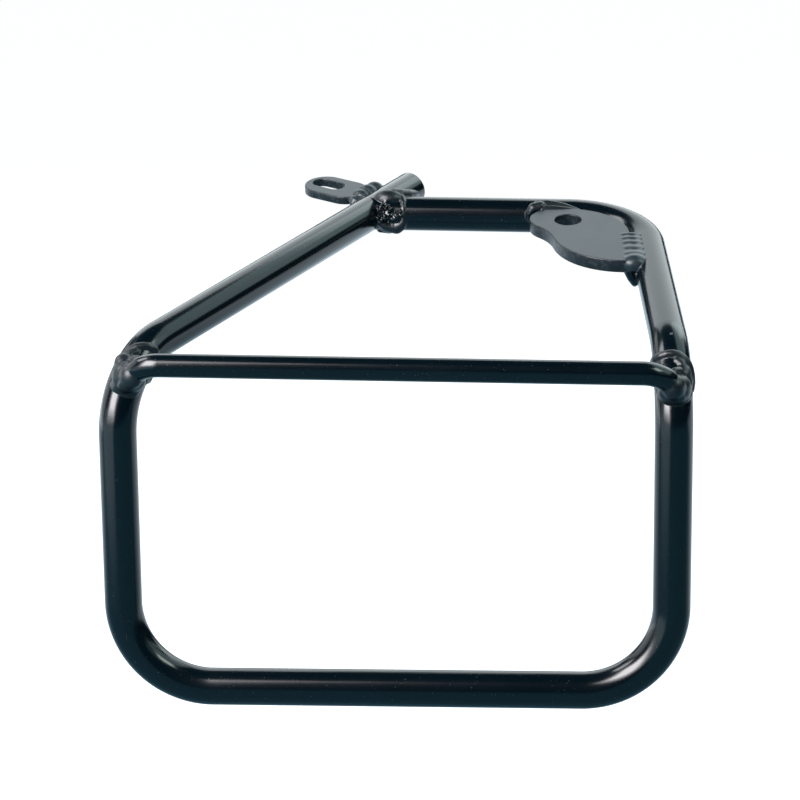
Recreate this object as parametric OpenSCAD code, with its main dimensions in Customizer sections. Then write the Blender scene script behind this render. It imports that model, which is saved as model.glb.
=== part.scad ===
// Pannier frame: one bent steel tube with a rod across its loop, a slotted tab and a bolt plate.
// The tube makes an upright loop, turns back at both top corners into two arms and ends at the
// side of its own left arm. The tab and the plate lie in the plane of the arms.
// Millimetres. X runs across the frame, Y points to the rear, Z is up.
// The origin is the middle of the bolt plate's hole.

/* [Tube] */
// Outside diameter of the bent tube
tube_diameter = 16; // [12:0.5:22]
// Wall thickness of the bent tube
tube_wall = 1.5; // [1:0.1:2.5]
// Radius of every tube bend, to the middle of the tube
bend_radius = 38; // [30:1:48]

/* [Loop] */
// Width of the loop between the middles of its uprights
loop_width = 234; // [190:1:290]
// Height from the middle of the bottom bar to the corner where an arm starts
loop_height = 141; // [115:1:180]

/* [Arms] */
// Rise of the arms and the rear cross tube, in degrees
arm_rise = 15; // [0:0.5:25]
// Angle of the left arm towards the middle, in degrees
left_arm_angle = 30.5; // [20:0.5:38]
// Angle of the right arm towards the middle, in degrees
right_arm_angle = 3.5; // [0:0.5:8]
// Length of the right arm from corner to corner
right_arm_length = 158; // [130:1:190]
// Angle by which the rear cross tube runs back to the left, in degrees
rear_skew = 2.5; // [0:0.5:8]
// Length of the left arm past the rear cross tube
arm_overhang = 35.5; // [20:0.5:60]

/* [Cross bar] */
// Diameter of the rod across the loop
bar_diameter = 10; // [8:0.5:12]
// Bend radius at each end of the rod, to its middle
bar_bend_radius = 12; // [10:0.5:16]
// Distance of the rod in front of the loop
bar_forward = 12; // [9:0.5:16]
// Inset of the rod's left bend from the loop's corner
bar_left_inset = 13.5; // [8:0.5:18]
// Inset of the rod's right bend from the loop's corner
bar_right_inset = 5; // [3:0.5:10]
// Height of the rod's left bend above the loop's corner
bar_left_height = 2.5; // [0:0.25:4]
// Height of the rod's right bend above the loop's corner
bar_right_height = -0.5; // [-3:0.25:2]

/* [Slotted tab] */
// Thickness of the tab
tab_thickness = 4; // [3:0.5:6]
// Width of the tab
tab_width = 20; // [16:0.5:24]
// Reach of the tab from the middle of the left arm
tab_reach = 43.5; // [36:0.5:50]
// Distance of the tab's middle past the rear cross tube's middle, along the arm
tab_past_cross = 10.8; // [6:0.2:14]
// Width of the slot
slot_width = 8.5; // [6:0.5:10]
// Length of the slot from end to end
slot_length = 17; // [10:0.5:20]

/* [Bolt plate] */
// Thickness of the plate
plate_thickness = 6; // [4:0.5:8]
// Height of the plate's top above the middle of the arms
plate_top = 7.5; // [5:0.5:8]
// Diameter of the bolt hole
hole_diameter = 12.5; // [8:0.5:14]
// Distance of the hole from the middle of the rear cross tube
hole_from_rear = 21.8; // [18:0.2:26]
// Distance of the hole from the rear right corner, along the rear cross tube
hole_from_corner = 33.5; // [30:0.5:38]
// Radius of the plate's round body
plate_radius = 33; // [28:0.5:36]
// Gap between the plate's edge and the tube
fit_up = 0.5; // [0.2:0.1:1]

/* [Hidden] */
$fn = 96;
tube_r = tube_diameter / 2;
bar_r = bar_diameter / 2;

// Layout in the plane of the arms: x across, y rearwards, seen from above.
left_corner = [-loop_width / 2, 0];
right_corner = [loop_width / 2, 0];
left_way = [sin(left_arm_angle), cos(left_arm_angle)];
right_way = [-sin(right_arm_angle), cos(right_arm_angle)];
rear_way = [-cos(rear_skew), sin(rear_skew)];
rear_corner = right_corner + right_arm_length * right_way;
arm_to_cross = cross(rear_corner - left_corner, rear_way) / cross(left_way, rear_way);
joint = left_corner + arm_to_cross * left_way;
arm_end = joint + arm_overhang * left_way;

// The same points in space, and raised square to the plane.
function on_arms(p, up = 0) = [
    p.x,
    p.y * cos(arm_rise) - up * sin(arm_rise),
    loop_height + p.y * sin(arm_rise) + up * cos(arm_rise)
];

// Points of the bent tube, from the free end of the left arm to the joint.
tube_path = [
    on_arms(arm_end),
    on_arms(left_corner),
    [-loop_width / 2, 0, 0],
    [loop_width / 2, 0, 0],
    on_arms(right_corner),
    on_arms(rear_corner),
    on_arms(joint)
];

// Points of the rod: each end turns back and down into the tube's bend.
bar_leg = 18;
left_bar_turn = 60;
left_bar_dip = 38;
right_bar_turn = 71;
right_bar_dip = 44;
bar_left = [-loop_width / 2 + bar_left_inset, -bar_forward, loop_height + bar_left_height];
bar_right = [loop_width / 2 - bar_right_inset, -bar_forward, loop_height + bar_right_height];
function leg_way(side, turn, dip) = [side * cos(turn), sin(turn) * cos(dip), -sin(turn) * sin(dip)];
left_leg_way = leg_way(-1, left_bar_turn, left_bar_dip);
right_leg_way = leg_way(1, right_bar_turn, right_bar_dip);
bar_path = [
    bar_left + bar_leg * left_leg_way,
    bar_left,
    bar_right,
    bar_right + bar_leg * right_leg_way
];

// Plate layout from the rear right corner: x along the rear cross tube, y square to it.
plate_bottom = plate_top - plate_thickness;
hole = [-hole_from_corner, -hole_from_rear];
nose = hole + [-5.4, 1.3];
nose_radius = -nose.y - tube_r - fit_up + 0.3;
body = [-7.3, hole.y - 12.1];
neck_radius = 26;
corner_angle = 90 + rear_skew + right_arm_angle;
nest_radius = bend_radius - tube_r - fit_up;
bend_centre = [-bend_radius * tan((180 - corner_angle) / 2), -bend_radius];
hole_in_arms = rear_corner + [
    hole.x * cos(rear_skew) + hole.y * sin(rear_skew),
    hole.y * cos(rear_skew) - hole.x * sin(rear_skew)
];
origin = on_arms(hole_in_arms, plate_top - plate_thickness / 2);

// Sizes of the weld beads
bar_weld = 2.6;
joint_weld = 3;
seam_weld = 4;
seam_start = bend_radius * tan((180 - corner_angle) / 2) + 1;
seam_end = seam_start + 29.5;

// How far a straight runs into a bend, and how much slimmer it is there
bend_overlap = 0.6;
bend_step = 0.06;

function unit(v) = v / norm(v);
function way(path, i) = unit(path[i] - path[i - 1]);
function turn(path, i) = acos(way(path, i) * way(path, i + 1));
function lead(path, i, bend) = bend * tan(turn(path, i) / 2);
function square_to_bend(path, i) = unit(cross(way(path, i), way(path, i + 1)));
function roll(from, to, axis) = atan2(cross(from, to) * axis, from * to);

// Moves an upright piece to a point and leans it along a direction.
module aim(point, way) {
    translate(point)
        rotate([0, acos(way.z), atan2(way.y, way.x)])
            children();
}

// Straight round bar between two points.
module rod(from, to, r) {
    aim(from, unit(to - from))
        cylinder(h = norm(to - from), r = r);
}

// Straight round bar with round ends.
module bead(from, to, r) {
    rod(from, to, r);
    translate(from)
        sphere(r = r);
    translate(to)
        sphere(r = r);
}

// Round bar through a list of points, with the same bend at every point between its ends.
module bent_rod(path, bend, r) {
    first = way(path, 1);
    yaw = atan2(first.y, first.x);
    aim(path[0], first)
        bent_from(path, bend, r, 1, [-sin(yaw), cos(yaw), 0]);
}

// One straight and the bend after it, then the rest of the bar from there.
// A straight runs a little way into its bends and is a hair slimmer, so they join as one solid.
module bent_from(path, bend, r, i, side) {
    last = i == len(path) - 1;
    start = i == 1 ? 0 : lead(path, i - 1, bend);
    stop = last ? 0 : lead(path, i, bend);
    straight = norm(path[i] - path[i - 1]) - start - stop;
    into_last = i == 1 ? 0 : bend_overlap;
    into_next = last ? 0 : bend_overlap;
    translate([0, 0, -into_last])
        cylinder(h = straight + into_last + into_next, r = r - bend_step);
    if (!last) {
        angle = turn(path, i);
        next_side = square_to_bend(path, i);
        translate([0, 0, straight])
            rotate(roll(side, next_side, way(path, i))) {
                translate([bend, 0, 0])
                    rotate([90, 0, 180])
                        rotate_extrude(angle = angle)
                            translate([bend, 0])
                                circle(r = r);
                translate([bend * (1 - cos(angle)), 0, bend * sin(angle)])
                    rotate([0, angle, 0])
                        bent_from(path, bend, r, i + 1, next_side);
            }
    }
}

module at_origin() {
    translate(-origin)
        children();
}

// Plane of the arms, from the loop's top.
module arms() {
    translate([0, 0, loop_height])
        rotate([arm_rise, 0, 0])
            children();
}

// Left arm from its corner: y along the arm, -x outwards.
module left_arm() {
    arms()
        translate(left_corner)
            rotate(-left_arm_angle)
                children();
}

// Rear right corner: -x along the rear cross tube.
module rear_right() {
    arms()
        translate(rear_corner)
            rotate(-rear_skew)
                children();
}

// The bent tube without its bore.
module tube_body() {
    bent_rod(tube_path, bend_radius, tube_r);
}

// The bore, open at the left arm's free end and closed by the arm's wall at the joint.
module tube_bore() {
    bore_r = tube_r - tube_wall;
    middle = (tube_path[5] + tube_path[6]) / 2;
    past_end = tube_path[0] + unit(tube_path[0] - tube_path[1]);
    bent_rod(
        [past_end, tube_path[1], tube_path[2], tube_path[3], tube_path[4], tube_path[5], middle],
        bend_radius, bore_r
    );
    difference() {
        rod(middle, tube_path[6], bore_r);
        rod(tube_path[0], tube_path[1], tube_r);
    }
}

module main_tube() {
    color("DarkSlateGray")
        at_origin()
            difference() {
                tube_body();
                tube_bore();
            }
}

module bar_body() {
    bent_rod(bar_path, bar_bend_radius, bar_r);
}

module cross_bar() {
    color("SlateGray")
        at_origin()
            difference() {
                bar_body();
                tube_body();
            }
}

// Flat shape with round ends, from x = from to x = to.
module obround(from, to, width) {
    for (x = [from + width / 2, to - width / 2])
        translate([x, 0])
            circle(r = width / 2);
    translate([from + width / 2, -width / 2])
        square([to - from - width, width]);
}

// Tab without its weld, flat on the middle plane of the arms.
module tab_shape() {
    translate([0, arm_to_cross + tab_past_cross, 0])
        linear_extrude(height = tab_thickness)
            difference() {
                obround(-tab_reach, -tube_r - 3, tab_width);
                translate([0, 0.9])
                    obround(-tab_reach + 2.8, -tab_reach + 2.8 + slot_length, slot_width);
            }
}

module slotted_tab() {
    color("LightSlateGray")
        at_origin()
            left_arm()
                tab_shape();
}

// Room inside the bend of the tube, short of it by the gap.
module nest() {
    reach = 4 * plate_radius;
    translate(bend_centre) {
        circle(r = nest_radius + 0.02);
        translate([-reach, -reach])
            square([reach, reach + nest_radius]);
        rotate(corner_angle - 90)
            translate([-reach, -reach])
                square([reach + nest_radius, reach]);
    }
}

// Hollow curve of the neck, which just cuts the nose's circle and the round body's.
module neck() {
    span = norm(body - nose);
    to_nose = nose_radius + neck_radius - 0.1;
    to_body = plate_radius + neck_radius - 0.1;
    along = (to_nose * to_nose - to_body * to_body + span * span) / (2 * span);
    aside = sqrt(to_nose * to_nose - along * along);
    line = unit(body - nose);
    centre = nose + along * line + aside * [line.y, -line.x];
    difference() {
        polygon([nose, centre, body, [body.x, 0], [nose.x, 0]]);
        translate(centre)
            circle(r = neck_radius);
    }
}

// Plate without its welds: round body, neck and nose inside the nest, with the bolt hole.
module plate_shape() {
    translate([0, 0, plate_bottom])
        linear_extrude(height = plate_thickness)
            difference() {
                intersection() {
                    union() {
                        translate(body)
                            circle(r = plate_radius);
                        translate(nose)
                            circle(r = nose_radius);
                        neck();
                    }
                    nest();
                }
                translate(hole)
                    circle(r = hole_diameter / 2);
            }
}

module bolt_plate() {
    color("LightSteelBlue")
        at_origin()
            rear_right()
                plate_shape();
}

// Weld round the foot of one leg of the rod.
module bar_weld_shape(vertex, way, corner) {
    difference() {
        intersection() {
            aim(vertex + 4.5 * way, way)
                cylinder(h = bar_leg - 4.5, r1 = bar_r + 0.4, r2 = 2.6 * bar_r);
            bent_rod(
                [tube_path[corner - 1], tube_path[corner], tube_path[corner + 1]],
                bend_radius, tube_r + bar_weld
            );
        }
        tube_body();
        bar_body();
    }
}

module left_bar_weld() {
    color("Silver")
        at_origin()
            bar_weld_shape(bar_left, left_leg_way, 1);
}

module right_bar_weld() {
    color("Silver")
        at_origin()
            bar_weld_shape(bar_right, right_leg_way, 4);
}

// Collar where the rear cross tube meets the left arm.
module rear_joint_weld() {
    way = unit(tube_path[5] - tube_path[6]);
    color("Silver")
        at_origin()
            difference() {
                aim(tube_path[6] + 0.55 * tube_r * way, way)
                    cylinder(h = 1.6 * tube_r, r1 = tube_r + joint_weld, r2 = tube_r + 0.3);
                tube_body();
            }
}

// Seam between the tab and the left arm.
module tab_weld() {
    middle = arm_to_cross + tab_past_cross;
    color("Silver")
        at_origin()
            left_arm()
                difference() {
                    union() {
                        bead([-tube_r - 1.6, middle - 7, 3], [-tube_r - 1.6, middle + 9, 3], seam_weld);
                        bead([-tube_r - 1.6, middle - 6, 0], [-tube_r - 1.6, middle + 6, 0], seam_weld);
                    }
                    tab_shape();
                    rod([0, middle - 40, 0], [0, middle + 40, 0], tube_r - bend_step);
                }
}

// Seam behind the plate's nose, on the rear cross tube.
module plate_rear_weld() {
    from = -nose.x + 13.5;
    color("Silver")
        at_origin()
            rear_right()
                difference() {
                    rod(
                        [-from, -tube_r + 1.4, plate_top - 1],
                        [-seam_start, -tube_r + 1.4, plate_top - 1],
                        seam_weld
                    );
                    plate_shape();
                    rod([-from - 10, 0, 0], [-seam_start + 10, 0, 0], tube_r - bend_step);
                }
}

// Rear right corner, turned to the right arm: -y along the arm.
module along_right_arm() {
    rear_right()
        rotate(corner_angle - 90)
            children();
}

// Straight seam along the right arm, inwards of its middle line.
module seam(from, to, inset, up) {
    rod([-inset, -from, up], [-inset, -to, up], seam_weld);
}

module top_seam() {
    seam(seam_start, seam_end, tube_r - 0.5, plate_top - 1.5);
}

// What the seams along the right arm lie against: the plate's edge and the tube.
module seam_bed() {
    translate([-tube_r - fit_up - 20, -seam_end - 10, plate_bottom])
        cube([20, seam_end - seam_start + 20, plate_thickness]);
    rod([0, -seam_start + 10, 0], [0, -seam_end - 10, 0], tube_r - bend_step);
}

// Seam between the plate's top and the right arm.
module plate_side_weld() {
    color("Silver")
        at_origin()
            along_right_arm()
                difference() {
                    top_seam();
                    seam_bed();
                }
}

// Seam between the plate's underside and the right arm.
module plate_under_weld() {
    color("Silver")
        at_origin()
            along_right_arm()
                difference() {
                    seam(seam_start + 2, seam_end - 1, tube_r + 0.8, plate_bottom - 1);
                    top_seam();
                    seam_bed();
                }
}

main_tube();
cross_bar();
slotted_tab();
bolt_plate();
rear_joint_weld();
left_bar_weld();
right_bar_weld();
tab_weld();
plate_rear_weld();
plate_side_weld();
plate_under_weld();
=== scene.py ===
"""Pannier frame: bent tube, cross rod, slotted tab, bolt plate and their welds, in black powder coat."""

import math
import random
from types import SimpleNamespace

import bmesh
import bpy
from mathutils import Matrix, Vector
from mathutils.bvhtree import BVHTree


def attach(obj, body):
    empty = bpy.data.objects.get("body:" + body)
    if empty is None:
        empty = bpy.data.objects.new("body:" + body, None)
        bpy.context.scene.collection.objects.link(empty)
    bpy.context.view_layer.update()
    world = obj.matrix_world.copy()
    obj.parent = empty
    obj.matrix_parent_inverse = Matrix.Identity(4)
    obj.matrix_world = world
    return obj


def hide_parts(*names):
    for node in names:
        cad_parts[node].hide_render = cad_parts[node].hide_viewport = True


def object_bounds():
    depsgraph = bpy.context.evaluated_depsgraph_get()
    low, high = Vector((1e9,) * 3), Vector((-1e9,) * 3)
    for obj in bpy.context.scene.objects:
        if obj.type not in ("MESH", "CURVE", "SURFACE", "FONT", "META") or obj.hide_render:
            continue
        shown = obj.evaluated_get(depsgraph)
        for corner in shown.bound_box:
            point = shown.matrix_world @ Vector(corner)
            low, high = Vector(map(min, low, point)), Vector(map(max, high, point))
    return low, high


bl_info = {
    "name": "Pannier Frame",
    "version": (1, 0, 0),
    "blender": (4, 5, 0),
    "location": "3D View > Sidebar > Frame",
    "description": "Builds a welded pannier frame of bent tube with a slotted tab and a bolt plate",
    "category": "Add Mesh",
}

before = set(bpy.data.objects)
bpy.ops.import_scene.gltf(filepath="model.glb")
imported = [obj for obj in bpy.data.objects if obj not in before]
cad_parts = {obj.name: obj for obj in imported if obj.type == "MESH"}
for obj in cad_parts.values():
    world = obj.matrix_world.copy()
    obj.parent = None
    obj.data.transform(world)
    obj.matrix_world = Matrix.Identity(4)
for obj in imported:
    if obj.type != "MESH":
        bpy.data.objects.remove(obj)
CAD_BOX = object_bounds()

MM = 0.001
X, Y, Z = Vector((1, 0, 0)), Vector((0, 1, 0)), Vector((0, 0, 1))

TAB_OFFSET = 10.8 * MM  # from the rear joint to the tab's middle, along the left arm
COPE_DEPTH = 0.8 * MM  # how far the rear cross tube's end sinks into the arm's wall
ROD_LEG = 18 * MM  # from the rod's corner to its end, which lies inside the tube
TUBE_BED, PLATE_BED = 0.06 * MM, 0.08 * MM  # depth of a weld's beds under the surface of the real pieces
VOXEL, REACH = 0.3, 2.4  # a melt's fineness and how far past its drops its skin is kept, in millimetres
WELD_SKIN = 0.4 * MM  # thickness given to a weld's skin, so that it is a closed piece


def length(label, text, default, **more):
    """A size in metres, from its default in millimetres."""
    return bpy.props.FloatProperty(
        name=label, description=text, default=default * MM, unit="LENGTH", precision=4, **more
    )


def angle(label, text, default):
    """An angle, from its default in degrees."""
    return bpy.props.FloatProperty(
        name=label, description=text, default=math.radians(default), unit="ROTATION", subtype="ANGLE"
    )


class FrameSizes(bpy.types.PropertyGroup):
    """Sizes of the tube, the rod, the tab and the plate."""

    tube_diameter: length("Tube diameter", "Outside diameter of the bent tube", 16)
    tube_wall: length("Tube wall", "Wall thickness of the bent tube", 1.5)
    bend_radius: length("Bend radius", "Radius of every tube bend, to the middle of the tube", 38)
    loop_width: length("Loop width", "Width of the loop between the middles of its uprights", 234)
    loop_height: length("Loop height", "Height from the bottom bar to the corner of an arm", 141)
    arm_rise: angle("Arm rise", "Rise of the arms and the rear cross tube", 15)
    left_arm_angle: angle("Left arm angle", "Angle of the left arm towards the middle", 30.5)
    right_arm_angle: angle("Right arm angle", "Angle of the right arm towards the middle", 3.5)
    right_arm_length: length("Right arm length", "Length of the right arm from corner to corner", 158)
    rear_skew: angle("Rear skew", "Angle by which the rear cross tube runs back to the left", 2.5)
    arm_overhang: length("Arm overhang", "Length of the left arm past the rear cross tube", 35.5)
    rod_diameter: length("Rod diameter", "Diameter of the rod across the loop", 10)
    rod_bend_radius: length("Rod bend radius", "Bend radius at each end of the rod", 12)
    rod_forward: length("Rod forward", "Distance of the rod in front of the loop", 12)
    tab_thickness: length("Tab thickness", "Thickness of the slotted tab", 4)
    tab_width: length("Tab width", "Width of the slotted tab", 20)
    tab_reach: length("Tab reach", "Reach of the tab from the middle of the left arm", 43.5)
    slot_width: length("Slot width", "Width of the tab's slot", 8.5)
    slot_length: length("Slot length", "Length of the tab's slot from end to end", 17)
    plate_thickness: length("Plate thickness", "Thickness of the bolt plate", 6)
    plate_top: length("Plate top", "Height of the plate's top above the middle of the arms", 7.5)
    hole_diameter: length("Hole diameter", "Diameter of the bolt hole", 12.5)
    plate_radius: length("Plate radius", "Radius of the plate's round body", 33)
    fit_up: length("Fit-up gap", "Gap between the plate's edge and the tube", 0.5)
    edge_round: length("Edge rounding", "Rounding of cut edges under the coat", 0.45)


class CoatFinish(bpy.types.PropertyGroup):
    """Colours and gloss of the powder coat."""

    color: bpy.props.FloatVectorProperty(
        name="Colour", description="Colour of the powder coat", subtype="COLOR", size=3, min=0, max=1,
        default=(0.0006, 0.0026, 0.0044),
    )
    plate_color: bpy.props.FloatVectorProperty(
        name="Plate colour", description="Colour of the coat on the cut plates", subtype="COLOR", size=3,
        min=0, max=1, default=(0.010, 0.0175, 0.0225),
    )
    tube_roughness: bpy.props.FloatProperty(
        name="Tube roughness", description="Roughness of the coat on the tube and the rod",
        default=0.165, min=0, max=1, subtype="FACTOR",
    )
    plate_roughness: bpy.props.FloatProperty(
        name="Plate roughness", description="Roughness of the coat on the tab and the plate",
        default=0.36, min=0, max=1, subtype="FACTOR",
    )
    weld_roughness: bpy.props.FloatProperty(
        name="Weld roughness", description="Roughness of the coat on the welds",
        default=0.38, min=0, max=1, subtype="FACTOR",
    )


class StudioSettings(bpy.types.PropertyGroup):
    """Studio floor and soft lights."""

    floor_drop: bpy.props.FloatProperty(
        name="Floor drop", description="Height of the frame above the studio floor", default=0.3, unit="LENGTH"
    )
    left_light: bpy.props.FloatProperty(
        name="Left light", description="Brightness of the soft light at the front left", default=12.5
    )
    right_light: bpy.props.FloatProperty(
        name="Right light", description="Brightness of the soft light at the front right", default=7.0
    )
    rear_light: bpy.props.FloatProperty(
        name="Rear light", description="Brightness of the wide soft light behind", default=2.0
    )


def layout(sizes):
    """Points and local frames of the pannier frame, worked out from its sizes."""
    s = sizes
    up = Matrix.Translation((0, 0, s.loop_height)) @ Matrix.Rotation(s.arm_rise, 4, "X")
    left = Vector((-s.loop_width / 2, 0, 0))
    right = Vector((s.loop_width / 2, 0, 0))
    left_way = Vector((math.sin(s.left_arm_angle), math.cos(s.left_arm_angle), 0))
    right_way = Vector((-math.sin(s.right_arm_angle), math.cos(s.right_arm_angle), 0))
    rear_way = Vector((-math.cos(s.rear_skew), math.sin(s.rear_skew), 0))
    rear = right + s.right_arm_length * right_way
    to_cross = (rear - left).cross(rear_way).z / left_way.cross(rear_way).z
    joint = left + to_cross * left_way
    end = joint + s.arm_overhang * left_way

    hole = Vector((-33.5 * MM, -21.8 * MM, 0))
    turned = Matrix.Rotation(-s.rear_skew, 4, "Z")
    origin = up @ (rear + turned @ hole + Z * (s.plate_top - s.plate_thickness / 2))
    home = Matrix.Translation(-origin)
    arms = home @ up
    left_arm = arms @ Matrix.Translation(left) @ Matrix.Rotation(-s.left_arm_angle, 4, "Z")
    rear_right = arms @ Matrix.Translation(rear) @ turned
    corner = math.pi / 2 + s.rear_skew + s.right_arm_angle
    right_arm = rear_right @ Matrix.Rotation(corner - math.pi / 2, 4, "Z")

    tube = [
        arms @ end, arms @ left, home @ left, home @ right, arms @ right, arms @ rear, arms @ joint
    ]

    def leg(side, turn, dip):
        turn, dip = math.radians(turn), math.radians(dip)
        return Vector((side * math.cos(turn), math.sin(turn) * math.cos(dip), -math.sin(turn) * math.sin(dip)))

    rod_left = home @ Vector((left.x + 13.5 * MM, -s.rod_forward, s.loop_height + 2.5 * MM))
    rod_right = home @ Vector((right.x - 5 * MM, -s.rod_forward, s.loop_height - 0.5 * MM))
    left_leg, right_leg = leg(-1, 60, 38), leg(1, 71, 44)
    rod = [rod_left + ROD_LEG * left_leg, rod_left, rod_right, rod_right + ROD_LEG * right_leg]
    return SimpleNamespace(
        tube=tube, rod=rod, left_leg=left_leg, right_leg=right_leg, left_arm=left_arm, hole=hole,
        rear_right=rear_right, right_arm=right_arm, corner=corner, to_cross=to_cross,
        tube_r=s.tube_diameter / 2, rod_r=s.rod_diameter / 2,
    )


def aimed(point, way):
    """Frame at a point with its Z along a direction."""
    return Matrix.Translation(point) @ way.to_track_quat("Z", "Y").to_matrix().to_4x4()


def square_to(point, way):
    """Frame at a point with its Z along a direction and its X level."""
    x = way.cross(Z).normalized()
    return Matrix.Translation(point) @ Matrix((x, way.cross(x), way)).transposed().to_4x4()


def of_type(geometry, kind):
    return [g for g in geometry if isinstance(g, kind)]


def bent_bar(bm, path, bend, radius, sides=72, step=2.5):
    """Sweeps a ring along straights and round bends. Gives back the edges of its two end rings."""
    ways = [(b - a).normalized() for a, b in zip(path, path[1:])]
    ring = bmesh.ops.create_circle(bm, segments=sides, radius=radius, matrix=aimed(path[0], ways[0]))
    verts = ring["verts"]
    edges = list({e for v in verts for e in v.link_edges})
    first, at = edges, path[0]
    for i, way in enumerate(ways):
        last = i == len(ways) - 1
        turn = 0 if last else way.angle(ways[i + 1])
        stop = path[i + 1] - way * bend * math.tan(turn / 2)
        made = bmesh.ops.extrude_edge_only(bm, edges=edges)["geom"]
        bmesh.ops.translate(bm, verts=of_type(made, bmesh.types.BMVert), vec=stop - at)
        edges = of_type(made, bmesh.types.BMEdge)
        if last:
            break
        axis = way.cross(ways[i + 1]).normalized()
        made = bmesh.ops.spin(
            bm, geom=edges + of_type(made, bmesh.types.BMVert), cent=stop + axis.cross(way) * bend,
            axis=axis, angle=turn, steps=max(8, round(math.degrees(turn) / step)),
        )["geom_last"]
        edges = of_type(made, bmesh.types.BMEdge)
        at = path[i + 1] + ways[i + 1] * bend * math.tan(turn / 2)
    return first, edges


def closed_bar(bm, path, bend, radius, **more):
    """Solid round bar with flat ends."""
    for ring in bent_bar(bm, path, bend, radius, **more):
        bmesh.ops.contextual_create(bm, geom=ring)


def finished(context, name, bm, nodes, material, smooth=None):
    """Turns a bmesh into a piece of the frame that stands for CAD nodes."""
    bmesh.ops.recalc_face_normals(bm, faces=bm.faces)
    if not all(e.is_contiguous for e in bm.edges):
        raise RuntimeError(name + " is not a closed skin")
    for face in bm.faces:
        face.smooth = smooth is None or smooth(face)
    for edge in bm.edges:
        edge.smooth = edge.calc_face_angle() < math.radians(45)
    mesh = bpy.data.meshes.new(name)
    bm.to_mesh(mesh)
    bm.free()
    piece = bpy.data.objects.new(name, mesh)
    context.scene.collection.objects.link(piece)
    mesh.materials.append(material)
    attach(piece, "root")
    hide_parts(*nodes)
    return piece


def round_edges(bm, edges, size, segments=3):
    bmesh.ops.bevel(
        bm, geom=edges, offset=size, offset_type="OFFSET", segments=segments, profile=0.5,
        affect="EDGES", clamp_overlap=True, material=-1,
    )


def sharp_edges(bm, least=50):
    return [e for e in bm.edges if len(e.link_faces) == 2 and e.calc_face_angle() > math.radians(least)]


def thick_plate(bm, matrix, bottom, thickness, rounding):
    """Fills a flat outline with its holes, gives it a thickness, rounds its edges and puts it in place."""
    bmesh.ops.triangle_fill(bm, edges=bm.edges[:], use_beauty=True)
    bmesh.ops.translate(bm, verts=bm.verts, vec=(0, 0, bottom))
    raised = bmesh.ops.extrude_face_region(bm, geom=bm.faces[:])["geom"]
    bmesh.ops.translate(bm, verts=of_type(raised, bmesh.types.BMVert), vec=(0, 0, thickness))
    bmesh.ops.recalc_face_normals(bm, faces=bm.faces)
    round_edges(bm, sharp_edges(bm), rounding)
    cut = bm.faces.layers.float.new("cut")
    for face in bm.faces:
        face[cut] = 1.0 - abs(face.normal.z)
    bmesh.ops.transform(bm, verts=bm.verts, matrix=matrix)


def flat_to(matrix):
    """Tells the flat top and bottom of a plate from its round edges."""
    up = (matrix.to_3x3() @ Z).normalized()
    return lambda face: abs(face.normal.dot(up)) < 0.999


class Value:
    """An output of a shader node that can stand in sums."""

    def __init__(self, paint, socket):
        self.paint, self.socket = paint, socket

    def math(self, operation, *others):
        return self.paint.add("ShaderNodeMath", {"operation": operation}, self, *others)

    def __add__(self, other):
        return self.math("ADD", other)

    def __mul__(self, other):
        return self.math("MULTIPLY", other)

    def __sub__(self, other):
        return self.math("SUBTRACT", other)

    def __rsub__(self, other):
        return self.paint.add("ShaderNodeMath", {"operation": "SUBTRACT"}, other, self)

    __radd__, __rmul__ = __add__, __mul__

    def between(self, low, high):
        """0 below low, 1 above high, smooth in between."""
        return self.paint.add(
            "ShaderNodeMapRange", {"interpolation_type": "SMOOTHSTEP"},
            Value=self, **{"From Min": low, "From Max": high},
        )


class Paint:
    """The node tree of a material or a world, written as sums of values."""

    def __init__(self, owner):
        self.owner = owner
        owner.use_nodes = True
        self.tree = owner.node_tree
        self.tree.nodes.clear()

    def node(self, kind, settings=None, *inputs, **named):
        """Adds a node: its settings first, then values and links for its inputs."""
        made = self.tree.nodes.new(kind)
        for key, value in (settings or {}).items():
            setattr(made, key, value)
        for key, value in list(enumerate(inputs)) + list(named.items()):
            if isinstance(value, Value):
                self.tree.links.new(value.socket, made.inputs[key])
            else:
                made.inputs[key].default_value = value
        return made

    def add(self, kind, settings=None, *inputs, out=0, **named):
        """Adds a node and gives back one of its outputs."""
        return Value(self, self.node(kind, settings, *inputs, **named).outputs[out])

    def place(self):
        """Where a point is on the piece, in metres."""
        return self.add("ShaderNodeTexCoord", out="Object")

    def noise(self, scale, detail=2.0, roughness=0.5):
        return self.add(
            "ShaderNodeTexNoise", None, Vector=self.place(), Scale=scale, Detail=detail, Roughness=roughness
        )

    def mixed(self, amount, a, b):
        """Colour a where amount is 0 and b where it is 1."""
        made = self.node("ShaderNodeMix", {"data_type": "RGBA"}, amount)
        for socket, value in (("A_Color", a), ("B_Color", b)):
            found = next(i for i in made.inputs if i.identifier == socket)
            if isinstance(value, Value):
                self.tree.links.new(value.socket, found)
            else:
                found.default_value = (*value[:3], 1)
        return Value(self, next(o for o in made.outputs if o.identifier == "Result_Color"))

    def away_from(self, point):
        """Distance from a point on the piece, in metres."""
        return self.add("ShaderNodeVectorMath", {"operation": "DISTANCE"}, self.place(), point, out="Value")

    def surface(self, color, roughness, height, depth):
        """Ends the tree in a coated surface."""
        bump = self.add("ShaderNodeBump", None, Strength=1.0, Distance=depth, Height=height)
        shader = self.add(
            "ShaderNodeBsdfPrincipled", None,
            **{"Base Color": color, "Roughness": roughness, "Normal": bump, "IOR": 1.5},
        )
        self.node("ShaderNodeOutputMaterial", None, shader)
        return self.owner


def lighter(color, times):
    return tuple(min(1.0, c * times) for c in color)


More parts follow.
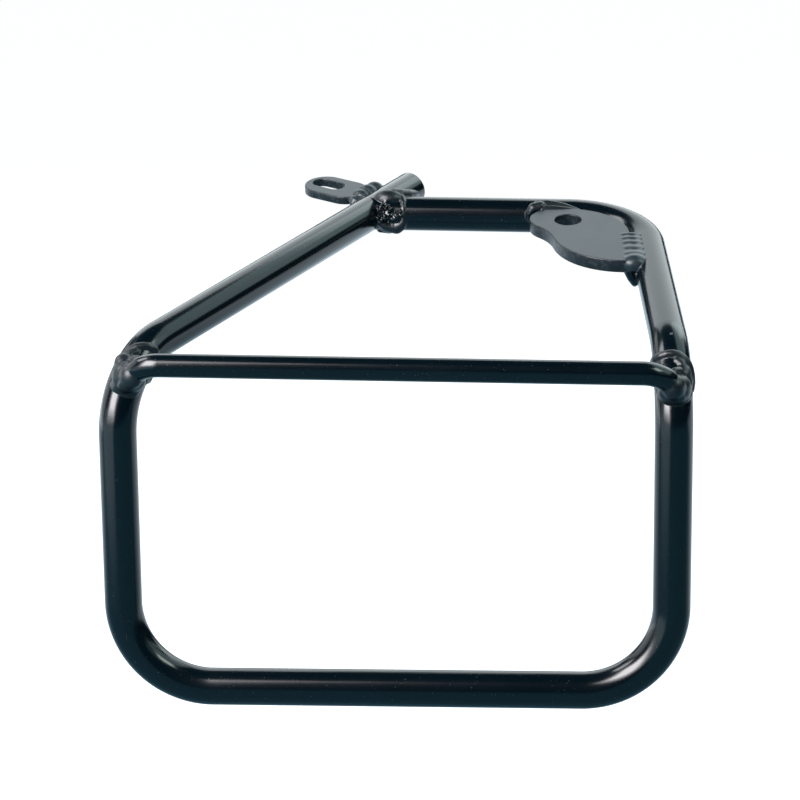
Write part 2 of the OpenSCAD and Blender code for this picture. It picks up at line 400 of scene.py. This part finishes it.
def tube_coat(coat):
    """Satin powder coat on drawn tube: fine orange peel, faint clouds, dust specks and one small nick."""
    p = Paint(bpy.data.materials.new("tube_coat"))
    clouds = p.noise(45, 3)
    peel = p.noise(700, 1)
    specks = p.noise(1500, 0).between(0.8, 0.84)
    nick_at = Vector((0.04315, -0.11578, -0.02883))
    nick = 1 - p.away_from(nick_at).between(0.0005, 0.0009)
    color = p.mixed(clouds, lighter(coat.color, 0.8), lighter(coat.color, 1.2))
    color = p.mixed(specks, color, (0.012, 0.016, 0.018))
    color = p.mixed(nick, color, (0.06, 0.075, 0.08))
    roughness = coat.tube_roughness - 0.02 + clouds * 0.05 + specks * 0.15
    return p.surface(color, roughness, peel * 0.5 + clouds - nick * 3, 0.00002)


def plate_coat(coat):
    """Duller powder coat on cut plate: even on the flats, mottled over the cut walls."""
    p = Paint(bpy.data.materials.new("plate_coat"))
    wall = p.add("ShaderNodeAttribute", {"attribute_name": "cut"}, out="Fac").between(0.1, 0.7)
    clouds = p.noise(90, 3)
    grain = p.noise(900, 3, 0.7)
    pits = p.noise(420, 2).between(0.6, 0.75)
    mottle = p.noise(520, 2, 0.5)
    color = p.mixed(clouds, lighter(coat.plate_color, 0.85), lighter(coat.plate_color, 1.2))
    color = p.mixed(pits * 0.6, color, lighter(coat.plate_color, 0.55))
    rough_wall = p.mixed(mottle.between(0.48, 0.72), lighter(coat.plate_color, 0.4), (0.018, 0.025, 0.029))
    color = p.mixed(wall, color, rough_wall)
    roughness = coat.plate_roughness - 0.05 + clouds * 0.08 + grain * 0.06
    height = grain * 0.5 - pits * 0.3 + wall * mottle * 1.6
    return p.surface(color, roughness, height, 0.00005)


def weld_coat(coat):
    """Powder coat over weld beads: soft on the crests, wet and rough where it pooled in the deep corners."""
    p = Paint(bpy.data.materials.new("weld_coat"))
    clouds = p.noise(120, 2)
    peel = p.noise(620, 2)
    plan = layout(bpy.context.scene.pannier_sizes)
    joint = square_to(plan.tube[6], (plan.tube[5] - plan.tube[6]).normalized())
    pools = (
        (joint, (9, -1.5, 10), 7.5),
        (plan.rear_right, (-50.5, -9, 4), 4),
        (plan.right_arm, (-9.6, -66, -1), 7),
    )
    wet = sum(
        1 - p.away_from(matrix @ (Vector(at) * MM)).between(reach * 0.6 * MM, reach * MM)
        for matrix, at, reach in pools
    )
    color = p.mixed(clouds, lighter(coat.color, 0.9), lighter(coat.plate_color, 0.6))
    color = p.mixed(wet, color, lighter(coat.color, 0.5))
    roughness = coat.weld_roughness - 0.05 + clouds * 0.1 - wet * 0.26
    return p.surface(color, roughness, peel * (wet * 3 + 1), 0.00002)


COATS = {"tube_coat": tube_coat, "plate_coat": plate_coat, "weld_coat": weld_coat}


def coat_named(name):
    """The named coat, made when it is first asked for."""
    return bpy.data.materials.get(name) or COATS[name](bpy.context.scene.pannier_coat)


class FRAME_OT_tube(bpy.types.Operator):
    """Add the bent tube, open at the left arm's end and coped to the arm at the rear joint"""

    bl_idname = "frame.tube"
    bl_label = "Bent Tube"

    def execute(self, context):
        sizes = context.scene.pannier_sizes
        plan = layout(sizes)
        bm = bmesh.new()
        outer = bent_bar(bm, plan.tube, sizes.bend_radius, plan.tube_r)
        outside = set(bm.faces)
        inner = bent_bar(bm, plan.tube, sizes.bend_radius, plan.tube_r - sizes.tube_wall)
        bmesh.ops.reverse_faces(bm, faces=[f for f in bm.faces if f not in outside])
        self.cope(plan, outer[1], plan.tube_r - COPE_DEPTH)
        self.cope(plan, inner[1], plan.tube_r - COPE_DEPTH)
        for pair in zip(outer, inner):
            bmesh.ops.bridge_loops(bm, edges=pair[0] + pair[1])
        round_edges(bm, outer[0] + inner[0], sizes.edge_round)
        finished(context, "bent_tube", bm, ["main_tube"], coat_named("tube_coat"))
        return {"FINISHED"}

    def cope(self, plan, ring, radius):
        """Pulls the end ring of the rear cross tube back into the wall of the left arm."""
        arm = (plan.tube[0] - plan.tube[1]).normalized()
        joint = plan.tube[-1]
        way = (joint - plan.tube[-2]).normalized()
        square = way - way.dot(arm) * arm
        for vert in {v for e in ring for v in e.verts}:
            off = vert.co - joint
            off = off - off.dot(arm) * arm
            half = off.dot(square)
            rest = max(0.0, half * half - square.length_squared * (off.length_squared - radius * radius))
            vert.co += way * (-half - math.sqrt(rest)) / square.length_squared


class FRAME_OT_rod(bpy.types.Operator):
    """Add the rod across the loop, with both ends bent back onto the tube"""

    bl_idname = "frame.rod"
    bl_label = "Cross Rod"

    def execute(self, context):
        sizes = context.scene.pannier_sizes
        plan = layout(sizes)
        bm = bmesh.new()
        closed_bar(bm, plan.rod, sizes.rod_bend_radius, plan.rod_r, step=2)
        finished(context, "cross_rod", bm, ["cross_bar"], coat_named("tube_coat"))
        return {"FINISHED"}


def obround(bm, low, high, width, shift=0.0):
    """Flat outline with round ends, from x low to x high."""
    sides = 64
    turn = Matrix.Rotation(math.pi / sides, 4, "Z")
    middle = Matrix.Translation((low + width / 2, shift, 0))
    made = bmesh.ops.create_circle(bm, segments=sides, radius=width / 2, matrix=middle @ turn)["verts"]
    far = [v for v in made if v.co.x > low + width / 2]
    bmesh.ops.translate(bm, verts=far, vec=(high - low - width, 0, 0))


class FRAME_OT_tab(bpy.types.Operator):
    """Add the slotted tab on the outside of the left arm"""

    bl_idname = "frame.tab"
    bl_label = "Slotted Tab"

    def execute(self, context):
        s = context.scene.pannier_sizes
        plan = layout(s)
        bm = bmesh.new()
        obround(bm, -s.tab_reach, -plan.tube_r - 3 * MM, s.tab_width)
        slot_margin, slot_shift = 2.8 * MM, 0.9 * MM
        start = -s.tab_reach + slot_margin
        obround(bm, start, start + s.slot_length, s.slot_width, slot_shift)
        place = plan.left_arm @ Matrix.Translation((0, plan.to_cross + TAB_OFFSET, 0))
        thick_plate(bm, place, 0, s.tab_thickness, s.edge_round)
        finished(context, "tab", bm, ["slotted_tab"], coat_named("plate_coat"), flat_to(place))
        return {"FINISHED"}


class FRAME_OT_plate(bpy.types.Operator):
    """Add the bolt plate in the rear right bend"""

    bl_idname = "frame.plate"
    bl_label = "Bolt Plate"

    def execute(self, context):
        s = context.scene.pannier_sizes
        plan = layout(s)
        bm = bmesh.new()
        self.outline(bm, s, plan)
        bmesh.ops.create_circle(
            bm, segments=96, radius=s.hole_diameter / 2, matrix=Matrix.Translation(plan.hole)
        )
        place = plan.rear_right
        thick_plate(bm, place, s.plate_top - s.plate_thickness, s.plate_thickness, s.edge_round)
        finished(context, "plate", bm, ["bolt_plate"], coat_named("plate_coat"), flat_to(place))
        return {"FINISHED"}

    def outline(self, bm, s, plan):
        """Draws nose, neck, round body, arm side, nest and rear edge with one pen."""
        nose = plan.hole + Vector((-5.4, 1.3, 0)) * MM
        body = Vector((-7.3 * MM, plan.hole.y - 12.1 * MM, 0))
        rear_edge = -plan.tube_r - s.fit_up
        nose_r = rear_edge - nose.y + 0.3 * MM
        neck_r = 26 * MM
        nest_r = s.bend_radius - plan.tube_r - s.fit_up
        nest = Vector((-s.bend_radius * math.tan((math.pi - plan.corner) / 2), -s.bend_radius, 0))
        span = body - nose
        to_nose, to_body = nose_r + neck_r, s.plate_radius + neck_r
        along = (to_nose**2 - to_body**2 + span.length_squared) / (2 * span.length)
        line = span.normalized()
        neck = nose + along * line + math.sqrt(to_nose**2 - along**2) * Vector((line.y, -line.x, 0))
        side = Matrix.Rotation(plan.corner - math.pi / 2, 3, "Z")
        out, down = side @ X, side @ -Y
        edge = nest + out * nest_r
        half = (edge - body).dot(down)
        reach = -half + math.sqrt(half**2 - (edge - body).length_squared + s.plate_radius**2)

        start = nose + Vector((-math.sqrt(nose_r**2 - (rear_edge - nose.y) ** 2), rear_edge - nose.y, 0))
        self.pen = bmesh.ops.create_vert(bm, co=start)["vert"][0]
        self.arc(bm, nose, neck - nose, 1)
        self.arc(bm, neck, body - neck, -1)
        self.arc(bm, body, edge + reach * down - body, 1)
        self.line(bm, edge)
        self.arc(bm, nest, Y, 1)
        self.line(bm, start)
        bmesh.ops.remove_doubles(bm, verts=bm.verts, dist=1e-6)

    def arc(self, bm, centre, to, way):
        """Moves the pen round a centre until it lies in a direction from it."""
        at = self.pen.co - centre
        turn = (math.atan2(to.y, to.x) - math.atan2(at.y, at.x)) * way % (2 * math.pi) * way
        made = bmesh.ops.spin(
            bm, geom=[self.pen], cent=centre, axis=Z, angle=turn, steps=max(6, round(abs(turn) * 20))
        )
        self.pen = of_type(made["geom_last"], bmesh.types.BMVert)[0]

    def line(self, bm, to):
        made = bmesh.ops.extrude_vert_indiv(bm, verts=[self.pen])
        bmesh.ops.translate(bm, verts=made["verts"], vec=to - self.pen.co)
        self.pen = made["verts"][0]


def drop(bm, matrix, at, size):
    """One drop of weld metal: an egg with half-sizes in millimetres along X, Y and Z."""
    shape = Matrix.Translation(Vector(at) * MM) @ Matrix.Diagonal((*(Vector(size) * MM), 1))
    bmesh.ops.create_icosphere(bm, subdivisions=3, radius=1, matrix=matrix @ shape)


def bead(bm, matrix, *stops):
    """Weld bead through stops of place and radius in millimetres, laid as a string of drops."""
    for (*a, ra), (*b, rb) in zip(stops, stops[1:]):
        a, b = Vector(a), Vector(b)
        count = max(1, math.ceil((b - a).length / (0.45 * min(ra, rb))))
        for i in range(count):
            t = i / count
            drop(bm, matrix, a.lerp(b, t), (ra + (rb - ra) * t,) * 3)
    drop(bm, matrix, b, (rb,) * 3)


def cad_shape(bm, node):
    """Adds a merged copy of a CAD node's mesh, a hair below its surface."""
    before = len(bm.verts)
    bm.from_mesh(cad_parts[node].data)
    bm.verts.ensure_lookup_table()
    bmesh.ops.remove_doubles(bm, verts=bm.verts[before:], dist=1e-6)
    bm.normal_update()
    for vert in bm.verts[before:]:
        vert.co -= vert.normal * PLATE_BED


def cut_to(beds, drops, margin):
    """Cuts the beds down to a box round the drops and closes the cuts."""
    for axis in (X, Y, Z):
        for way in (axis, -axis):
            far = max(v.co.dot(way) for v in drops.verts) + margin
            parts = beds.verts[:] + beds.edges[:] + beds.faces[:]
            bmesh.ops.bisect_plane(beds, geom=parts, plane_co=way * far, plane_no=way, clear_outer=True)
            bmesh.ops.holes_fill(beds, edges=[e for e in beds.edges if e.is_boundary], sides=0)


def melted(context, name, drops, beds, nodes, coat="weld_coat", flow=6):
    """Melts weld drops into their beds with soft toes, and keeps the skin on and near the drops."""
    cut_to(beds, drops, (REACH + 3) * MM)
    near = BVHTree.FromBMesh(drops)
    both = bpy.data.meshes.new("melt")
    beds.to_mesh(both)
    beds.free()
    drops.from_mesh(both)
    drops.to_mesh(both)
    drops.free()
    pot = bpy.data.objects.new("melt", both)
    context.scene.collection.objects.link(pot)
    remesh = pot.modifiers.new("melt", "REMESH")
    remesh.mode, remesh.voxel_size, remesh.adaptivity = "VOXEL", VOXEL * MM, 0
    skin = bmesh.new()
    skin.from_object(pot, context.evaluated_depsgraph_get())
    bpy.data.objects.remove(pot)
    bpy.data.meshes.remove(both)
    for _ in range(flow):
        bmesh.ops.smooth_vert(
            skin, verts=skin.verts, factor=0.5, use_axis_x=True, use_axis_y=True, use_axis_z=True
        )
    far = [v for v in skin.verts if near.find_nearest(v.co, REACH * MM)[0] is None]
    bmesh.ops.delete(skin, geom=far, context="VERTS")
    loose = [v for v in skin.verts if not v.link_faces]
    bmesh.ops.delete(skin, geom=loose, context="VERTS")
    bmesh.ops.solidify(skin, geom=skin.faces[:], thickness=WELD_SKIN)
    return finished(context, name, skin, nodes, coat_named(coat))


def sunk(plan, sizes, *parts):
    """Copies of the pieces that a weld lies on, a hair below their surface, as beds for the melt."""
    bm = bmesh.new()
    if "tube" in parts:
        closed_bar(bm, plan.tube, sizes.bend_radius, plan.tube_r - TUBE_BED, sides=48, step=4)
    if "rod" in parts:
        closed_bar(bm, plan.rod, sizes.rod_bend_radius, plan.rod_r - TUBE_BED, sides=40, step=4)
    return bm


class FRAME_OT_rod_welds(bpy.types.Operator):
    """Add the weld round each foot of the cross rod"""

    bl_idname = "frame.rod_welds"
    bl_label = "Rod Welds"

    def execute(self, context):
        sizes = context.scene.pannier_sizes
        plan = layout(sizes)
        left, right = bmesh.new(), bmesh.new()
        self.left_foot(left, square_to(plan.rod[1], plan.left_leg))
        self.right_foot(right, square_to(plan.rod[2], plan.right_leg))
        for name, node, drops in (
            ("left_foot_bead", "left_bar_weld", left), ("right_foot_bead", "right_bar_weld", right)
        ):
            melted(context, name, drops, sunk(plan, sizes, "tube", "rod"), [node], flow=14)
        return {"FINISHED"}

    def left_foot(self, bm, at):
        """Hood round the rod's end, hooked bead over the bend, face below and short bead under the rod."""
        drop(bm, at, (-0.8, -1, 14.4), (6.8, 6.8, 6.4))
        drop(bm, at, (0.4, -6.6, 15.4), (5, 5.4, 4))
        drop(bm, at, (-2, 1, 8.8), (5, 5.7, 5.6))
        drop(bm, at, (-0.8, 2.8, 12.5), (6.2, 4, 6.2))
        bead(
            bm, at, (-3, -5.5, 19.5, 1.6), (-1.2, -8.4, 19.4, 1.75), (0.7, -10.6, 18.5, 1.75),
            (2.8, -12.4, 17.4, 1.75), (5.1, -13.4, 16, 1.75), (7.4, -13.7, 14.7, 1.75),
            (9.7, -13.4, 13.8, 1.75), (11.9, -12.8, 13.3, 1.75), (13.9, -11.7, 13.4, 1.75),
            (15.3, -10.3, 14.1, 1.6),
        )
        bead(
            bm, at, (-1.8, -5, 17.6, 1.6), (-0.2, -7.4, 17.3, 1.9), (1.8, -9.3, 16.4, 2),
            (4.2, -10.8, 15.6, 2), (6.4, -11.3, 14.6, 1.7),
        )
        bead(
            bm, at, (-3.4, -2.6, 14.5, 2), (-1.4, -4.6, 14, 2.6), (0.6, -5.6, 13, 2.6),
            (2.6, -6.6, 11, 2.2), (2.4, -5.4, 6.5, 1.6),
        )
        bead(
            bm, at, (-4.7, -0.2, 19.7, 2), (-4.2, 1.6, 18.8, 2.6), (-2.8, 2.9, 17.9, 3),
            (-1, 4.2, 17.4, 3), (1.2, 4.7, 17.4, 2.8), (3.8, 3.6, 17.4, 2.2), (5.9, 2, 17.4, 1.8),
        )
        bead(
            bm, at, (-4, -0.6, 14.7, 2.2), (-3.3, 1.4, 13.5, 2.6), (-2.3, 2.8, 12.5, 2.8),
            (0, 3.6, 13.5, 2.8), (2.6, 3, 14.5, 2.6), (4.6, 1, 15.5, 2.2),
        )
        bead(
            bm, at, (7.8, 0.7, 17.6, 1.7), (11.2, -0.6, 20.7, 1.8), (12.3, -1.8, 20.6, 1.7),
            (13.5, -3.1, 20.4, 1.3),
        )

    def right_foot(self, bm, at):
        """Hood round the rod's end, a hooked bead over the bend and down its outside, and the face below."""
        drop(bm, at, (0.6, -0.8, 13), (6.9, 6.8, 6.8))
        drop(bm, at, (0.6, -8, 15), (4.4, 5.4, 4))
        drop(bm, at, (2, 1, 8.8), (5, 5.7, 5.6))
        drop(bm, at, (0.4, 2.6, 12.5), (6.2, 4, 6.2))
        bead(
            bm, at, (-14.4, -14.4, 16.5, 1.5), (-11.9, -13.7, 12.8, 1.75), (-9.1, -14.2, 11.1, 1.85),
            (-6.6, -15.1, 10.6, 1.85), (-4.3, -15.9, 11, 1.85), (-2.2, -16.2, 12.2, 1.85),
            (-0.2, -15.7, 13.9, 1.85), (1.3, -14.7, 15.9, 1.85), (2.2, -13.1, 17.8, 1.85),
            (2.8, -11, 19.5, 1.85), (3.5, -8.2, 20.4, 1.85), (4.5, -4.3, 19.3, 1.85),
        )
        bead(
            bm, at, (-1.8, -13.3, 12.1, 1.6), (0.1, -12.4, 13.2, 2), (1.4, -10.5, 14.4, 2.3),
            (2.6, -8.2, 15.6, 2.4), (3.5, -5.6, 16.5, 2.4), (4, -2.5, 16.9, 2.2),
        )
        bead(bm, at, (1.2, -5, 6, 1.6), (1.8, -6.6, 9, 2.2), (2.4, -5.6, 11.5, 2.4), (3, -3.6, 13, 2.4))
        bead(
            bm, at, (-8.3, -1.7, 14.5, 1.5), (-6.1, 0.3, 14, 2), (-3.9, 1.8, 13.9, 2.4),
            (-1.6, 3.1, 14.2, 2.7), (0.6, 3.4, 14.8, 2.7), (2.5, 2.5, 15.6, 2.7), (3.9, 0.9, 16.9, 2.4),
            (4.7, -1.5, 18.7, 1.9),
        )
        bead(
            bm, at, (-4.6, 0.4, 11, 1.8), (-2.6, 2.6, 10.5, 2.4), (0.5, 3.6, 10.5, 2.6),
            (2.6, 2.7, 12, 2.6), (3.2, 0, 15.4, 2.4), (3.6, -2.1, 16.3, 2.4),
        )


class FRAME_OT_joint_weld(bpy.types.Operator):
    """Add the lumpy collar where the rear cross tube meets the left arm"""

    bl_idname = "frame.joint_weld"
    bl_label = "Rear Joint Weld"

    def execute(self, context):
        sizes = context.scene.pannier_sizes
        plan = layout(sizes)
        drops = bmesh.new()
        at = square_to(plan.tube[6], (plan.tube[5] - plan.tube[6]).normalized())
        drop(drops, at, (1.2, -7, 9), (5.2, 4.6, 7))
        drop(drops, at, (3.6, 5, 10), (4.4, 4, 6))
        bead(
            drops, at, (2.4, -7, 5.6, 2.2), (1.4, -8.4, 8, 2.8), (0.4, -8.8, 11, 3.1),
            (-1.4, -8.6, 14, 3), (-5, -8.2, 17, 2.8), (-10, -7.8, 19, 2.4), (-16, -7, 20, 2),
            (-22.3, -5.6, 20.8, 1.4),
        )
        bead(
            drops, at, (4.4, -6, 8.3, 2.4), (3.2, -6.8, 10.6, 2.8), (2.1, -7.1, 13.3, 2.8),
            (1.5, -7.2, 15, 2.2), (4.4, -5.8, 16.2, 1.6), (6.2, -3.5, 16.6, 1.3), (6.9, -1, 16.8, 1.3),
            (6.8, 1.6, 16.5, 1.7), (6.4, 3, 16.4, 2.2), (5.6, 4.7, 15, 3), (4.8, 5.6, 13.1, 3.6),
            (5.1, 5.4, 10.3, 3.2), (5.8, 4.7, 7.8, 2.6), (6.4, 3.5, 5.5, 2),
        )
        bead(
            drops, at, (0, 7.4, 5, 2), (0, 6.8, 9, 3), (-1, 6.6, 13, 2.8), (-6, 4.4, 15, 2.6),
            (-8, 0, 16, 2.8), (-7.4, -4, 16, 2.8), (-4, -6.4, 14, 2.8),
        )
        bead(
            drops, at, (6.2, -3.2, 8.6, 2), (6.9, -0.8, 9.2, 2), (6.8, 1.4, 11, 2.2),
            (6.8, 1.6, 13.9, 2.2),
        )
        lumps = random.Random(5)
        for _ in range(30):
            spot = Vector((lumps.uniform(7.9, 9), lumps.uniform(-5.5, 2.2), lumps.uniform(4.5, 16)))
            drop(drops, at, spot, (lumps.uniform(0.7, 1.3), lumps.uniform(0.5, 1), lumps.uniform(0.5, 1)))
        melted(context, "joint_collar", drops, sunk(plan, sizes, "tube"), ["rear_joint_weld"], flow=2)
        return {"FINISHED"}


class FRAME_OT_tab_weld(bpy.types.Operator):
    """Add the weld between the slotted tab and the left arm"""

    bl_idname = "frame.tab_weld"
    bl_label = "Tab Weld"

    def execute(self, context):
        sizes = context.scene.pannier_sizes
        plan = layout(sizes)
        drops = bmesh.new()
        at = plan.left_arm @ Matrix.Translation((0, plan.to_cross + TAB_OFFSET, 0))
        for x, y, z, half in (
            (-10.6, -8, 3.2, 2.6), (-10, -3.6, 4.2, 3.4), (-9.4, 1.6, 4.8, 3.6), (-9.2, 7, 4.6, 3.4)
        ):
            drop(drops, at, (x, y, z), (half + 1, half, half - 0.4))
        bead(drops, at, (-10.6, -9, 2, 2.2), (-9.6, 9.6, 2.6, 2.6))
        bead(
            drops, at, (-10.4, -9, 0.6, 2), (-9.6, -4, -0.4, 2.4), (-9.6, 0, -0.6, 2.6),
            (-9.6, 5, -0.4, 2.4), (-10, 9, 0.6, 2),
        )
        beds = sunk(plan, sizes, "tube")
        cad_shape(beds, "slotted_tab")
        melted(context, "tab_bead", drops, beds, ["tab_weld"], "plate_coat", flow=10)
        return {"FINISHED"}


class FRAME_OT_plate_welds(bpy.types.Operator):
    """Add the three welds that hold the bolt plate"""

    bl_idname = "frame.plate_welds"
    bl_label = "Plate Welds"

    def execute(self, context):
        sizes = context.scene.pannier_sizes
        plan = layout(sizes)
        rear, side, under = bmesh.new(), bmesh.new(), bmesh.new()
        at = plan.rear_right
        bead(
            rear, at, (-51.4, -8, 2, 2.2), (-51.4, -8, 4.6, 2.8), (-50.2, -7.8, 6.8, 2.8),
            (-47, -7.2, 7.6, 2.6),
        )
        bead(
            rear, at, (-48, -5, 7.4, 2.6), (-44, -4.4, 7.4, 2.5), (-40, -4.6, 7.2, 2.2),
            (-36, -5.4, 6.8, 2), (-32.5, -6.6, 6.4, 1.6), (-29, -8, 6.2, 1.1),
        )
        bead(rear, at, (-46, -8, 6.4, 2.2), (-41, -7.8, 6.3, 2.3), (-36, -8, 6.2, 2), (-31, -8.6, 6.2, 1.3))
        at = plan.right_arm
        for y, half in ((-36.4, 2.8), (-40.8, 2.9), (-45.6, 3.6), (-51.4, 4.4), (-57.6, 4.6)):
            drop(side, at, (-8.6, y, 5.7), (6.6, half, 2.5))
        drop(side, at, (-8.6, -63, 5), (6, 4.8, 4))
        bead(side, at, (-10, -37, 5.4, 2.5), (-10, -64, 5, 2.8))
        bead(side, at, (-6, -38, 5.2, 2.6), (-6, -63, 4.8, 2.8))
        bead(
            under, at, (-9.6, -38, 0, 2.6), (-9.6, -52, 0, 2.8), (-10.6, -63, 1.4, 3),
            (-9.2, -63.6, -1.4, 3), (-8.4, -63.4, -4, 2.2), (-8.4, -62.6, -5.6, 1.4),
        )
        for name, node, drops, coat, flow in (
            ("nose_bead", "plate_rear_weld", rear, "weld_coat", 5),
            ("side_bead", "plate_side_weld", side, "plate_coat", 18),
            ("under_bead", "plate_under_weld", under, "weld_coat", 3),
        ):
            beds = sunk(plan, sizes, "tube")
            cad_shape(beds, "bolt_plate")
            melted(context, name, drops, beds, [node], coat, flow=flow)
        return {"FINISHED"}


# Each soft light: name, which brightness and what part of it, azimuth, elevation, distance from the middle
# of the frame, width, height and colour. The first three are nested, so that their edge fades softly.
SOFT_LIGHTS = (
    ("left_light", "left_light", 0.82, -140, 29, 1.07, 0.5, 0.5 * 1.1, (1, 0.97, 1)),
    ("left_light_edge", "left_light", 0.5, -140, 29, 1.08, 0.7, 0.7 * 1.1, (1, 0.97, 1)),
    ("left_light_rim", "left_light", 0.22, -140, 29, 1.09, 0.92, 0.92 * 1.1, (1, 0.97, 1)),
    ("left_wall", "left_light", 0.08, -128, -4, 1.6, 1.9, 1, (0.8, 0.95, 1)),
    ("left_side_light", "left_light", 0.11, -66, 12, 1.6, 1.5, 1.1, (0.95, 0.98, 1)),
    ("left_high_light", "left_light", 0.5, -80, 46, 1.6, 0.6, 0.6, (0.95, 0.97, 1)),
    ("right_light", "right_light", 1, 117, 45, 1.5, 0.4, 0.55, (0.86, 1, 0.9)),
    ("right_side_light", "right_light", 0.06, 112, 30, 1.8, 1.4, 0.8, (0.6, 0.95, 1)),
    ("rear_light", "rear_light", 1, 5, 32, 2.4, 3.4, 1.9, (0.9, 0.98, 1)),
    ("rear_right_light", "rear_light", 0.7, 66, 44, 2.2, 2.7, 1.6, (0.72, 0.97, 1)),
)


class FRAME_OT_stage(bpy.types.Operator):
    """Add the pale floor, the soft lights and the camera"""

    bl_idname = "frame.stage"
    bl_label = "Studio"

    def execute(self, context):
        studio = context.scene.pannier_studio
        low, high = CAD_BOX
        self.floor(context, low.z - studio.floor_drop)
        middle = Vector(((low.x + high.x) / 2, (low.y + high.y) / 2, (low.z + high.z) / 2))
        for name, level, part, *place, color in SOFT_LIGHTS:
            self.soft_light(context, name, middle, *place, getattr(studio, level) * part, color)
        self.world(context)
        self.camera(context)
        context.scene.view_settings.view_transform = "Standard"
        return {"FINISHED"}

    def floor(self, context, height):
        """Wide pale floor: near white to the camera, keeps the frame's shadow, dim teal in reflections."""
        bm = bmesh.new()
        place = Matrix.Translation((0, 0, height))
        bmesh.ops.create_grid(bm, x_segments=1, y_segments=1, size=14, matrix=place)
        mesh = bpy.data.meshes.new("floor")
        bm.to_mesh(mesh)
        bm.free()
        floor = bpy.data.objects.new("floor", mesh)
        context.scene.collection.objects.link(floor)
        p = Paint(bpy.data.materials.new("pale_floor"))
        path = p.node("ShaderNodeLightPath")
        camera, gloss = Value(p, path.outputs["Is Camera Ray"]), Value(p, path.outputs["Is Glossy Ray"])
        spot = p.node("ShaderNodeSeparateXYZ", None, p.place())
        side, depth = Value(p, spot.outputs["X"]), Value(p, spot.outputs["Y"])
        bright = (depth + side.math("ABSOLUTE") * 0.15).between(-0.1, 1.2)
        tint = p.mixed(bright, (0.07, 0.2, 0.27), (0.75, 0.9, 1))
        glow = p.add("ShaderNodeEmission", None, p.mixed(gloss, (0, 0, 0), tint), Strength=1.3)
        white = p.add("ShaderNodeEmission", None, (1, 1, 1, 1), 0.985)
        matt = p.add("ShaderNodeBsdfDiffuse", None, p.mixed(gloss, (0.35, 0.36, 0.37), (0.01, 0.02, 0.03)))
        glow = p.add("ShaderNodeMixShader", None, camera, glow, white)
        p.node("ShaderNodeOutputMaterial", None, p.add("ShaderNodeAddShader", None, glow, matt))
        mesh.materials.append(p.owner)

    def soft_light(self, context, name, at, azimuth, elevation, away, width, height, level, color):
        """Rectangular soft light that faces a point. Azimuth 0 is behind the frame and 90 is at its right."""
        a, e = math.radians(azimuth), math.radians(elevation)
        way = Vector((math.sin(a) * math.cos(e), math.cos(a) * math.cos(e), math.sin(e)))
        lamp = bpy.data.lights.new(name, "AREA")
        lamp.shape, lamp.size, lamp.size_y = "RECTANGLE", width, height
        lamp.energy, lamp.color = level * math.pi * width * height, color
        holder = bpy.data.objects.new(name, lamp)
        holder.matrix_world = aimed(at + way * away, way)
        context.scene.collection.objects.link(holder)

    def world(self, context):
        """White to the camera, and a dim room to the frame."""
        world = bpy.data.worlds.new("studio")
        p = Paint(world)
        camera = p.add("ShaderNodeLightPath", out="Is Camera Ray")
        room = p.add("ShaderNodeBackground", None, (0.008, 0.03, 0.045, 1))
        white = p.add("ShaderNodeBackground", None, (1, 1, 1, 1))
        p.node("ShaderNodeOutputWorld", None, p.add("ShaderNodeMixShader", None, camera, room, white))
        context.scene.world = world

    def camera(self, context):
        """Long lens in front of the loop, a little above it."""
        data = bpy.data.cameras.new("camera")
        data.sensor_width, data.lens = 36, 113.006
        dip, pan, roll = (math.radians(x) for x in (12.23, -3.69, 0.57))
        ahead = Vector((math.sin(pan) * math.cos(dip), math.cos(pan) * math.cos(dip), -math.sin(dip)))
        right = Vector((math.cos(pan), -math.sin(pan), 0))
        down = ahead.cross(right)
        x = math.cos(roll) * right + math.sin(roll) * down
        y = math.sin(roll) * right - math.cos(roll) * down
        camera = bpy.data.objects.new("camera", data)
        turn = Matrix((x, y, -ahead)).transposed().to_4x4()
        camera.matrix_world = Matrix.Translation((-0.0041557, -1.1563379, 0.1682066)) @ turn
        context.scene.collection.objects.link(camera)
        context.scene.camera = camera


class FRAME_PT_panel(bpy.types.Panel):
    """Lists the pieces of the frame and their sizes"""

    bl_idname = "FRAME_PT_panel"
    bl_label = "Pannier Frame"
    bl_space_type = "VIEW_3D"
    bl_region_type = "UI"
    bl_category = "Frame"

    def draw(self, context):
        for operator in OPERATORS:
            self.layout.operator(operator.bl_idname)
        for group in (context.scene.pannier_sizes, context.scene.pannier_coat, context.scene.pannier_studio):
            box = self.layout.box()
            for name in group.__annotations__:
                box.prop(group, name)


OPERATORS = (
    FRAME_OT_stage, FRAME_OT_tube, FRAME_OT_rod, FRAME_OT_tab, FRAME_OT_plate,
    FRAME_OT_rod_welds, FRAME_OT_joint_weld, FRAME_OT_tab_weld, FRAME_OT_plate_welds,
)
GROUPS = {"pannier_sizes": FrameSizes, "pannier_coat": CoatFinish, "pannier_studio": StudioSettings}


def register():
    for cls in (*GROUPS.values(), *OPERATORS, FRAME_PT_panel):
        bpy.utils.register_class(cls)
    for name, group in GROUPS.items():
        setattr(bpy.types.Scene, name, bpy.props.PointerProperty(type=group))


def unregister():
    for name in GROUPS:
        delattr(bpy.types.Scene, name)
    for cls in (FRAME_PT_panel, *reversed(OPERATORS), *reversed(GROUPS.values())):
        bpy.utils.unregister_class(cls)


def main():
    register()
    bpy.ops.frame.stage()
    bpy.ops.frame.tube()
    bpy.ops.frame.rod()
    bpy.ops.frame.tab()
    bpy.ops.frame.plate()
    bpy.ops.frame.rod_welds()
    bpy.ops.frame.joint_weld()
    bpy.ops.frame.tab_weld()
    bpy.ops.frame.plate_welds()


if __name__ == "__main__":
    main()
